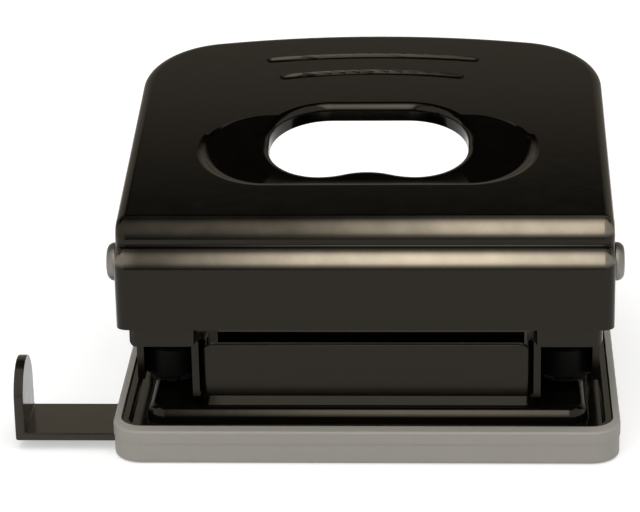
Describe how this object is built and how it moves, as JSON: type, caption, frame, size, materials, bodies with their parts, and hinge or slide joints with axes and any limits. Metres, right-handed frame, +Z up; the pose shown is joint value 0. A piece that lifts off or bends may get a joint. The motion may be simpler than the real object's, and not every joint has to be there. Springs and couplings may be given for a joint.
{
  "type": "two-hole paper punch",
  "caption": "Hand-operated desk paper punch: wide sprung lever with a hand hole over a steel base in a plastic chip tray, with a pull-out paper guide.",
  "frame": {"origin": "centre of the chip tray's flat underside, midway between the two punched holes", "axes": "+Z up, -Y towards the paper slot and the user, +X to the right"},
  "size_m": [0.1214, 0.092, 0.0615],
  "materials": {
    "black_enamel": "satin black stoved enamel",
    "tray_plastic": "fine matt grey moulding",
    "smoky_plastic": "smoky translucent, polished",
    "zinc_steel": "bright zinc plate",
    "pin_steel": "ground and hardened",
    "die_steel": "ground, dark from hardening",
    "spring_steel": "drawn wire, lightly oiled",
    "guide_metal": "black oxide, matt"
  },
  "bodies": {
    "base": {"base_plate": "black_enamel", "base_rivets": "zinc_steel", "back_stop": "black_enamel", "front_panel": "black_enamel", "pivot_axle": "zinc_steel", "bracket_left": "black_enamel", "bracket_right": "black_enamel", "pin_guide_left": "guide_metal", "pin_guide_right": "guide_metal", "die_left": "die_steel", "die_right": "die_steel", "axle_washer_left": "zinc_steel", "axle_washer_right": "zinc_steel", "return_spring_left": "spring_steel", "return_spring_right": "spring_steel"},
    "lever": {"lever_shell": "black_enamel", "press_channel": "black_enamel"},
    "punch_left": {"punch_pin_left": "pin_steel", "pin_clip_left": "spring_steel", "spring_washer_left": "zinc_steel"},
    "punch_right": {"punch_pin_right": "pin_steel", "pin_clip_right": "spring_steel", "spring_washer_right": "zinc_steel"},
    "tray": {"chip_tray": "tray_plastic"},
    "guide": {"paper_guide": "smoky_plastic"}
  },
  "joints": [
    {"name": "lever_hinge", "type": "hinge", "parent": "base", "child": "lever", "pos_m": [0, -0.034, 0.0385], "axis": [-1, 0, 0], "range_deg": [0, 20], "stiffness_Nm_per_rad": 0.65, "springref_deg": -24.64},
    {"name": "punch_slide_left", "type": "slide", "parent": "base", "child": "punch_left", "axis": [0, 0, -1], "range_m": [0, 0.0056], "deforming": ["return_spring_left"]},
    {"name": "punch_slide_right", "type": "slide", "parent": "base", "child": "punch_right", "axis": [0, 0, -1], "range_m": [0, 0.0056], "deforming": ["return_spring_right"]},
    {"name": "tray_release", "type": "slide", "parent": "base", "child": "tray", "axis": [0, 0, -1], "range_m": [0, 0.015]},
    {"name": "guide_slide", "type": "slide", "parent": "tray", "child": "guide", "axis": [-1, 0, 0], "range_m": [-0.002, 0.08]}
  ],
  "couplings": [
    {"joint": "punch_slide_left", "follows": "lever_hinge", "m_per_rad": 0.0158},
    {"joint": "punch_slide_right", "follows": "lever_hinge", "m_per_rad": 0.0158}
  ]
}
